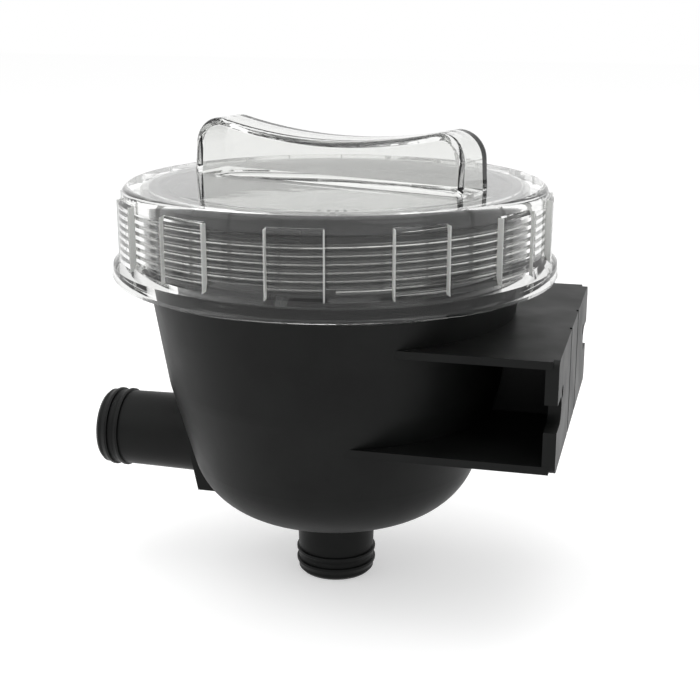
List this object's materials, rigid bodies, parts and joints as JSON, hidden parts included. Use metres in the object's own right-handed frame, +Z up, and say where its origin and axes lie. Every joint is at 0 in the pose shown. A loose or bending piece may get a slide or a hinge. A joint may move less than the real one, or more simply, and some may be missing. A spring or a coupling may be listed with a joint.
{
  "type": "sea water strainer",
  "caption": "Round strainer bowl with side inlet and bottom outlet hose tails, slotted wall bracket, clear screw-on lid with a grab handle, and lift-out basket.",
  "frame": {"origin": "centre of the bracket's mounting face, where it meets the bulkhead", "axes": "+X out of the mounting face into the bulkhead, +Z up along the bowl's axis towards the lid"},
  "size_m": [0.1677, 0.15, 0.1591],
  "materials": {
    "black_moulding": "fine matt moulded black plastic",
    "clear_plastic": "clear glossy moulded plastic with a faint grey-green cast",
    "seal_rubber": "smooth black sealing rubber",
    "white_plastic": "natural white moulded plastic"
  },
  "bodies": {
    "bowl": {"housing": "black_moulding", "strainer_basket": "white_plastic"},
    "seal": {"lid_seal": "seal_rubber"},
    "lid": {"lid": "clear_plastic"}
  },
  "joints": [
    {"name": "lid_lift", "type": "slide", "parent": "bowl", "child": "seal", "axis": [0, 0, 1], "range_m": [0, 0.015]},
    {"name": "lid_turn", "type": "hinge", "parent": "seal", "child": "lid", "pos_m": [-0.0815, 0, 0], "axis": [0, 0, 1], "range_deg": [0, 1080]}
  ],
  "couplings": [
    {"joint": "lid_lift", "follows": "lid_turn", "m_per_rad": 0.00079577}
  ]
}
